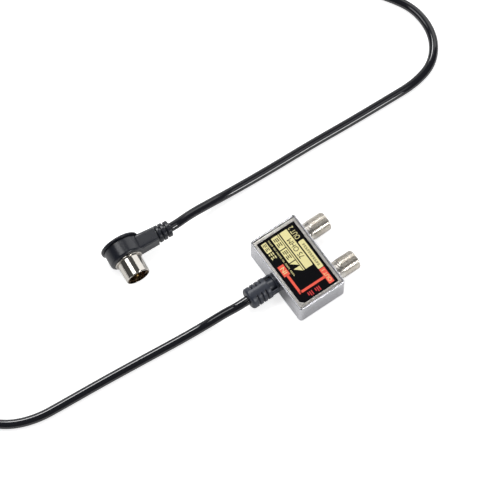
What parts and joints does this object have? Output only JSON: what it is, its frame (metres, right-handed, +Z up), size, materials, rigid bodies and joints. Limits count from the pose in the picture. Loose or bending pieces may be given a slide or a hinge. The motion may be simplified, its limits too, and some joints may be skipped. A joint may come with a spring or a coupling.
{
  "type": "coaxial splitter",
  "caption": "Aerial splitter: small plated box with a fixed input lead that ends in an angled push-on plug, and threaded outlets on the far side.",
  "frame": {"origin": "centre of the case's flat base", "axes": "+Y along the outlets, out of the case; +X along the case's long side; +Z up through the label"},
  "size_m": [0.2235, 0.2854, 0.0186],
  "materials": {
    "nickel_zinc": "satin nickel plate on a zinc casting",
    "nickel_plate": "bright nickel plate on pressed steel",
    "label_film": "black printed film, semi-gloss",
    "gold_ink": "pale gold screen ink",
    "red_ink": "red screen ink",
    "white_plastic": "moulded, smooth",
    "contact_brass": "bright, sprung",
    "board_laminate": "phenolic board with solder mask",
    "ferrite": "sintered, dull",
    "copper_wire": "enamelled copper",
    "resistor_coat": "lacquered film resistor",
    "capacitor_coat": "dipped ceramic disc",
    "gland_moulding": "flexible moulding, fine matte grain",
    "cord_jacket": "black extruded jacket, glossy",
    "ferrule_metal": "crimped",
    "tie_plastic": "nylon strap",
    "plug_moulding": "dark grey moulding, semi-gloss",
    "plug_nickel": "polished nickel plate",
    "spring_bronze": "phosphor bronze, bright"
  },
  "bodies": {
    "root": {"case": "nickel_zinc", "cover_plate": "nickel_plate", "label": "label_film", "gold_print": "gold_ink", "red_print": "red_ink", "port_insulator_1": "white_plastic", "port_contact_1": "contact_brass", "port_insulator_2": "white_plastic", "port_contact_2": "contact_brass", "circuit_board": "board_laminate", "matching_core": "ferrite", "matching_winding": "copper_wire", "splitting_core": "ferrite", "splitting_winding": "copper_wire", "choke_core": "ferrite", "choke_winding": "copper_wire", "isolation_resistor": "resistor_coat", "capacitors": "capacitor_coat", "gland": "gland_moulding", "lead_end": "cord_jacket", "braid_ferrule": "ferrule_metal", "cord_gland_side": "cord_jacket", "cord_coil": "cord_jacket", "cord_tie": "tie_plastic", "cord_plug_side": "cord_jacket", "plug_body": "plug_moulding", "plug_lid": "plug_moulding", "plug_collar": "plug_nickel", "plug_sleeve": "plug_nickel", "plug_spring_contact": "spring_bronze", "plug_insulator": "white_plastic", "plug_pin": "contact_brass", "plug_lead_end": "cord_jacket"}
  },
  "joints": []
}
